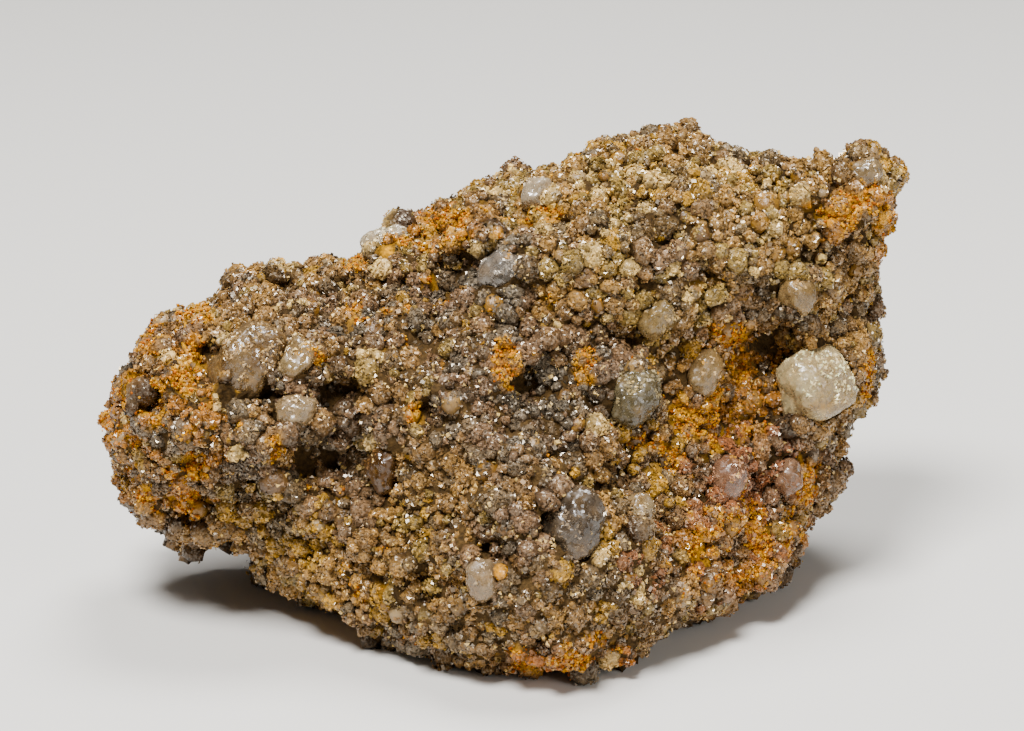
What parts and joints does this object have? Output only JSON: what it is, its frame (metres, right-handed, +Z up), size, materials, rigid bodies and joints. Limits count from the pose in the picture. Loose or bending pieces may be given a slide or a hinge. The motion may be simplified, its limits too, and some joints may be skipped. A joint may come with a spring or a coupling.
{
  "type": "chlorargyrite specimen",
  "caption": "Rough free-standing mineral specimen: a lump of quartz grit crusted with chlorargyrite crystals, larger quartz grains set in its front, flat underside.",
  "frame": {"origin": "middle of the bounding box's base, on the flat underside that the specimen rests on", "axes": "+X along the specimen's length, to the right when it is seen from the front; +Z up; the front, with the larger quartz grains, looks along -Y"},
  "size_m": [0.0722, 0.0454, 0.0415],
  "materials": {
    "crusted_grit": "rough cemented grit with a sparkling grey-brown crystal crust and orange limonite",
    "milky_quartz": "translucent cream-white natural faces, slightly frosted",
    "smoky_quartz": "translucent grey natural faces, slightly frosted",
    "rose_quartz": "translucent iron-stained pink-brown natural faces"
  },
  "bodies": {
    "root": {"matrix": "crusted_grit", "quartz_big_right": "milky_quartz", "quartz_grey_middle": "smoky_quartz", "quartz_beside_middle": "milky_quartz", "quartz_oval_right": "smoky_quartz", "quartz_round_low": "milky_quartz", "quartz_long_left": "smoky_quartz", "quartz_second_left": "milky_quartz", "quartz_low_left": "milky_quartz", "quartz_ridge_white": "milky_quartz", "quartz_blue_grey": "smoky_quartz", "quartz_block_top": "milky_quartz", "quartz_brown_oval": "smoky_quartz", "quartz_centre_grey": "smoky_quartz", "quartz_rose_left": "rose_quartz", "quartz_rose_right": "rose_quartz", "quartz_cream_right": "milky_quartz", "quartz_clear_brow": "smoky_quartz", "quartz_horn": "milky_quartz"}
  },
  "joints": []
}
